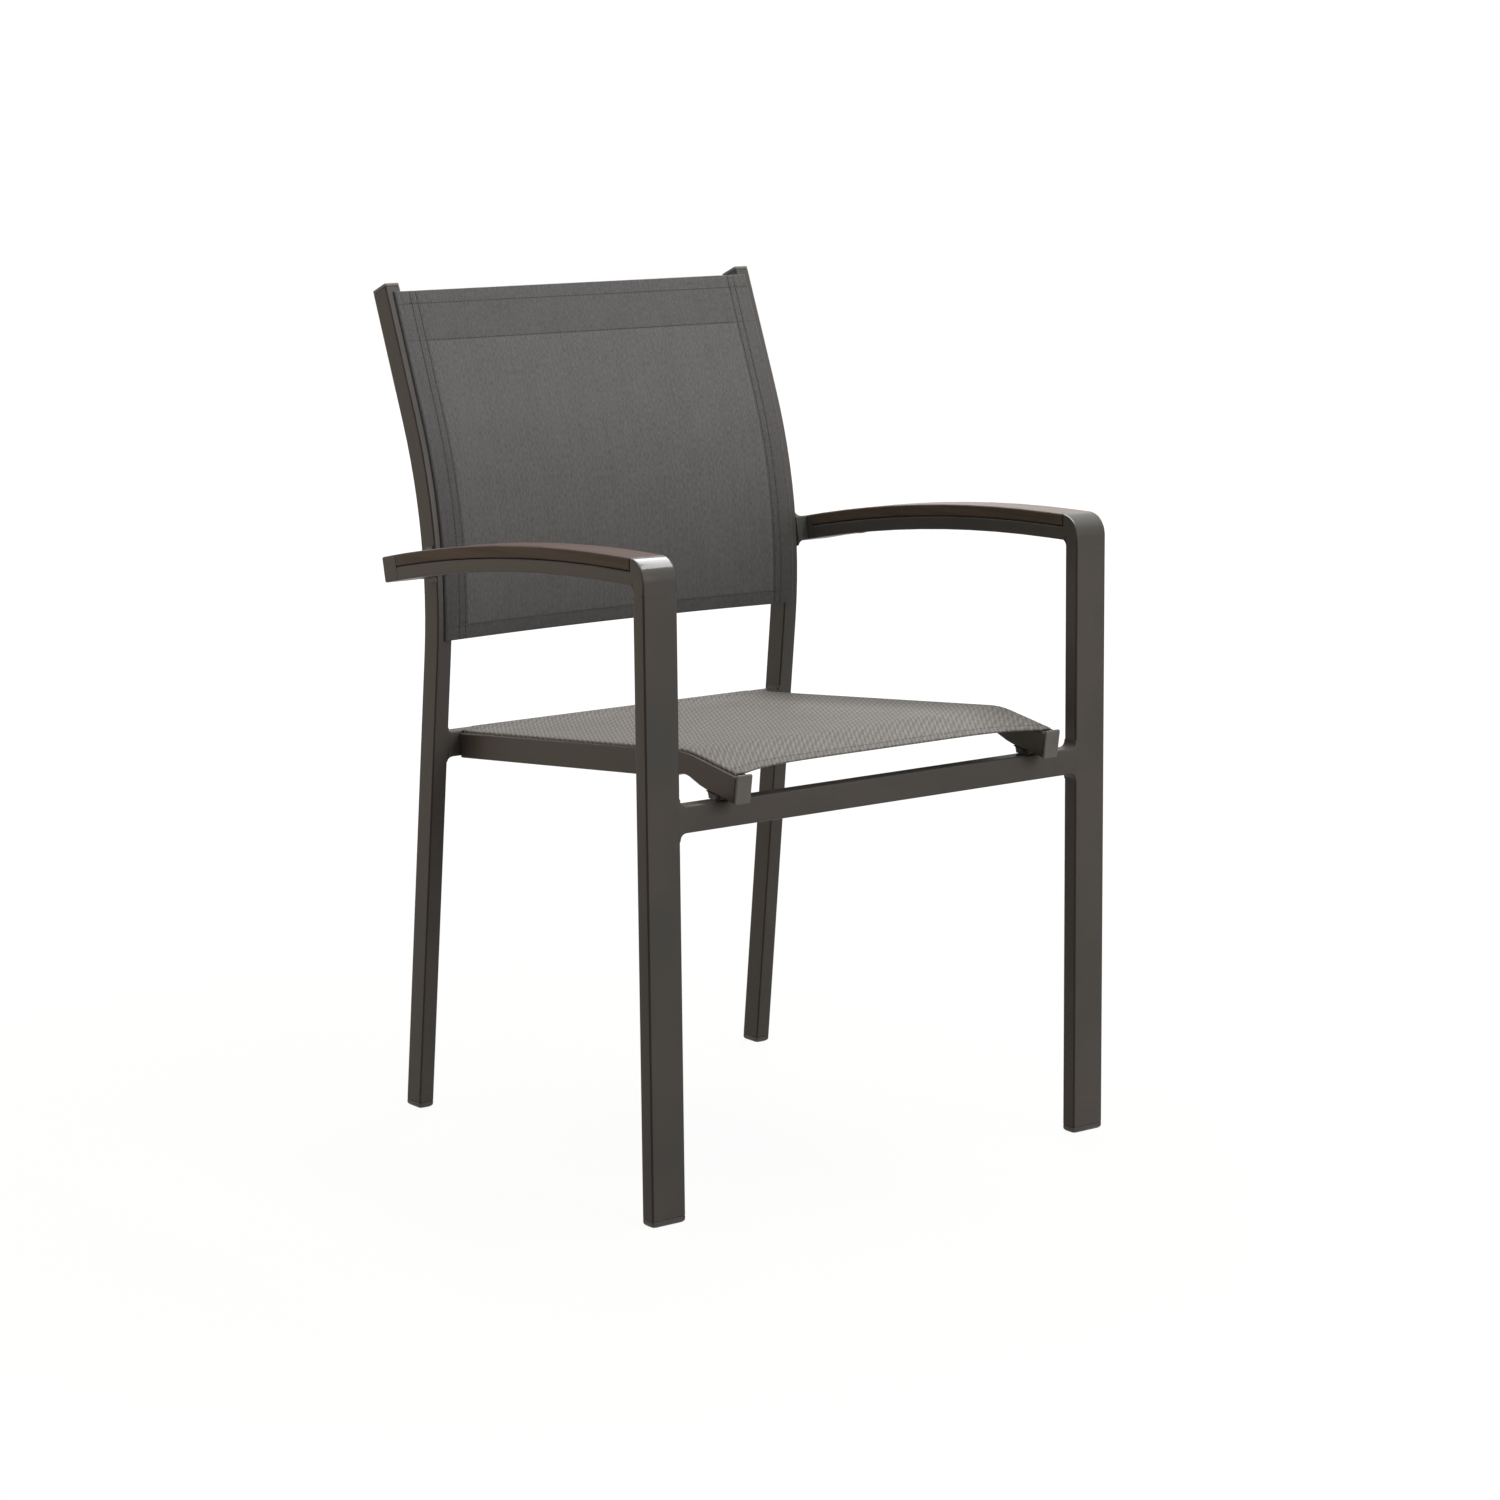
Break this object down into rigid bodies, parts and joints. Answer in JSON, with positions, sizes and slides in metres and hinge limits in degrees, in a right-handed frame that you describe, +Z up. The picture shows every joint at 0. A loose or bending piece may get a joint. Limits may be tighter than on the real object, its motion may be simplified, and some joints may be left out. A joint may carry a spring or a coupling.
{
  "type": "sling patio armchair",
  "caption": "Stacking outdoor armchair with a bent aluminium tube frame, arched slatted arms, and a mesh sling seat and back.",
  "frame": {"origin": "on the floor under the middle of the chair's bounding box", "axes": "+X to the sitter's left, -Y the way the sitter faces, +Z up"},
  "size_m": [0.56, 0.5766, 0.8569],
  "materials": {
    "frame": "fine-textured dark powder coat",
    "slat": "brushed, brown-grey",
    "plastic": "moulded, satin",
    "fastener": "blackened",
    "back_mesh": "vertical-ribbed vinyl-coated mesh",
    "seat_mesh": "twill vinyl-coated mesh"
  },
  "bodies": {
    "root": {"front_leg_left": "frame", "front_leg_right": "frame", "back_leg_left": "frame", "back_leg_right": "frame", "arm_rail_left": "frame", "arm_rail_right": "frame", "arm_end_left": "frame", "arm_end_right": "frame", "arm_bracket_left": "frame", "arm_bracket_right": "frame", "front_bar": "frame", "rear_bar": "frame", "seat_rail_left": "frame", "seat_rail_right": "frame", "seat_spacer_left": "frame", "seat_spacer_right": "frame", "back_spreader": "frame", "arm_slat_left": "slat", "arm_slat_right": "slat", "front_foot_left": "plastic", "front_foot_right": "plastic", "back_foot_left": "plastic", "back_foot_right": "plastic", "back_cap_left": "plastic", "back_cap_right": "plastic", "seat_cap_left": "plastic", "seat_cap_right": "plastic", "back_rod_left": "plastic", "back_rod_right": "plastic", "seat_rod_left": "plastic", "seat_rod_right": "plastic", "arm_screw_left_1": "fastener", "arm_screw_left_2": "fastener", "arm_screw_right_1": "fastener", "arm_screw_right_2": "fastener", "back_sling": "back_mesh", "seat_sling": "seat_mesh"}
  },
  "joints": []
}
